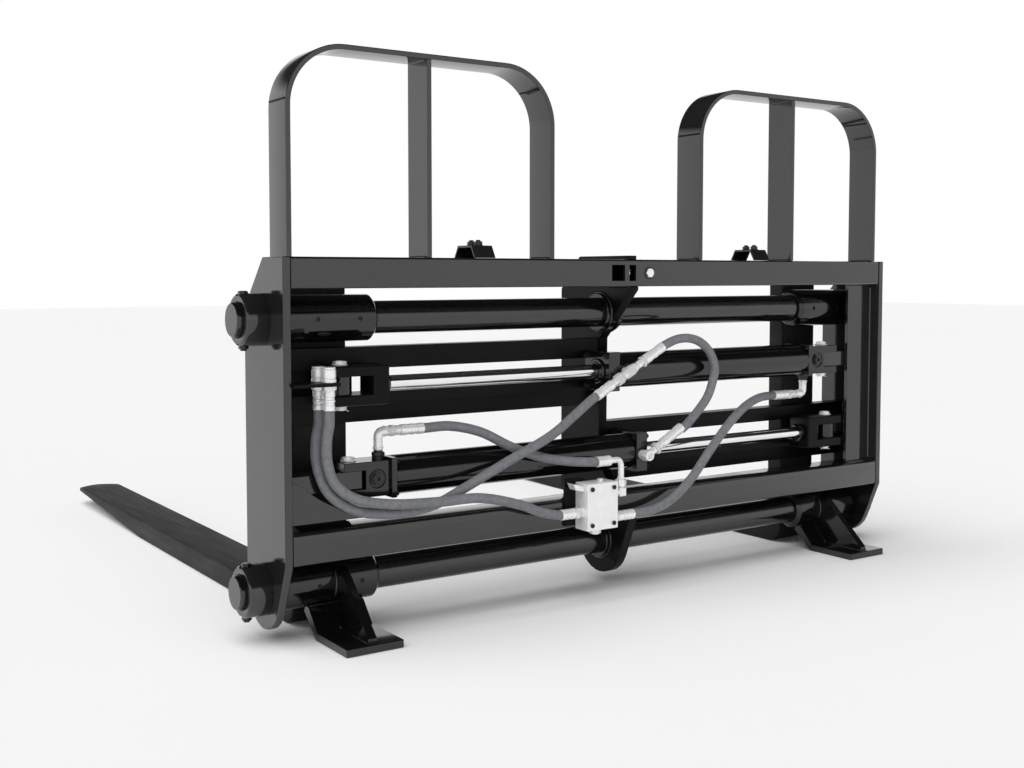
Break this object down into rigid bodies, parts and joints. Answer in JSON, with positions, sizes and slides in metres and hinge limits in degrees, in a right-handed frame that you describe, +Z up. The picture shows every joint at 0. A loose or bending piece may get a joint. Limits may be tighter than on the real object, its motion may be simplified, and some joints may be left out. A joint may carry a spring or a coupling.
{
  "type": "pallet fork attachment",
  "caption": "Shaft-mounted pallet fork attachment: welded frame with guard hoops, and forks that hydraulic cylinders slide apart and together on two round shafts.",
  "frame": {"origin": "on the floor, below the middle of the overall bounding box", "axes": "+Y the way the forks point, +X to the right seen from behind the frame, +Z up"},
  "size_m": [2.282, 2.395, 1.455],
  "materials": {
    "frame_paint": "satin black paint",
    "fork_steel": "forged steel, satin black paint, worn on top",
    "shaft_steel": "ground steel, gloss black",
    "polished_steel": "polished",
    "zinc_plate": "bright zinc",
    "valve_aluminium": "milled",
    "hose_rubber": "matte"
  },
  "bodies": {
    "frame": {"bottom_tube": "frame_paint", "centre_plate": "frame_paint", "coupler_1": "zinc_plate", "coupler_2": "zinc_plate", "coupler_bracket": "frame_paint", "flow_divider": "valve_aluminium", "guard_hoop_left": "frame_paint", "guard_hoop_right": "frame_paint", "gusset_left": "frame_paint", "hose_lower_base": "hose_rubber", "hose_rod_ends": "hose_rubber", "hose_supply_tee": "hose_rubber", "hose_supply_valve": "hose_rubber", "hose_upper_base": "hose_rubber", "lower_barrel": "frame_paint", "lower_base_pin": "zinc_plate", "lower_collar_bolt_left": "zinc_plate", "lower_collar_bolt_right": "zinc_plate", "lower_collar_left": "frame_paint", "lower_collar_right": "frame_paint", "lower_gland": "frame_paint", "lower_rail_bottom": "frame_paint", "lower_rail_top": "frame_paint", "lower_shaft": "shaft_steel", "saddle_clip_left": "frame_paint", "saddle_clip_right": "frame_paint", "side_plate_left": "frame_paint", "side_plate_right": "frame_paint", "tee_fitting": "zinc_plate", "top_tube": "frame_paint", "upper_barrel": "frame_paint", "upper_base_pin": "zinc_plate", "upper_collar_bolt_left": "zinc_plate", "upper_collar_bolt_right": "zinc_plate", "upper_collar_left": "frame_paint", "upper_collar_right": "frame_paint", "upper_gland": "frame_paint", "upper_rail_bottom": "frame_paint", "upper_rail_top": "frame_paint", "upper_shaft": "shaft_steel", "upright_right": "frame_paint", "valve_bracket": "frame_paint", "valve_elbow": "zinc_plate"},
    "left_carriage": {"fork_left": "fork_steel", "fork_lug_left": "frame_paint", "stand_foot_left": "frame_paint", "upper_sleeve_left": "frame_paint", "lower_sleeve_left": "frame_paint", "upper_rod": "polished_steel", "upper_rod_clevis": "frame_paint", "upper_rod_pin": "zinc_plate"},
    "right_carriage": {"fork_right": "fork_steel", "fork_lug_right": "frame_paint", "stand_foot_right": "frame_paint", "upper_sleeve_right": "frame_paint", "lower_sleeve_right": "frame_paint", "lower_rod": "polished_steel", "lower_rod_clevis": "frame_paint", "lower_rod_pin": "zinc_plate"}
  },
  "joints": [
    {"name": "fork_left_slide", "type": "slide", "parent": "frame", "child": "left_carriage", "axis": [1, 0, 0], "range_m": [0, 0.67]},
    {"name": "fork_right_slide", "type": "slide", "parent": "frame", "child": "right_carriage", "axis": [1, 0, 0], "range_m": [-0.67, 0]}
  ],
  "couplings": [
    {"joint": "fork_right_slide", "follows": "fork_left_slide", "ratio": -1}
  ]
}
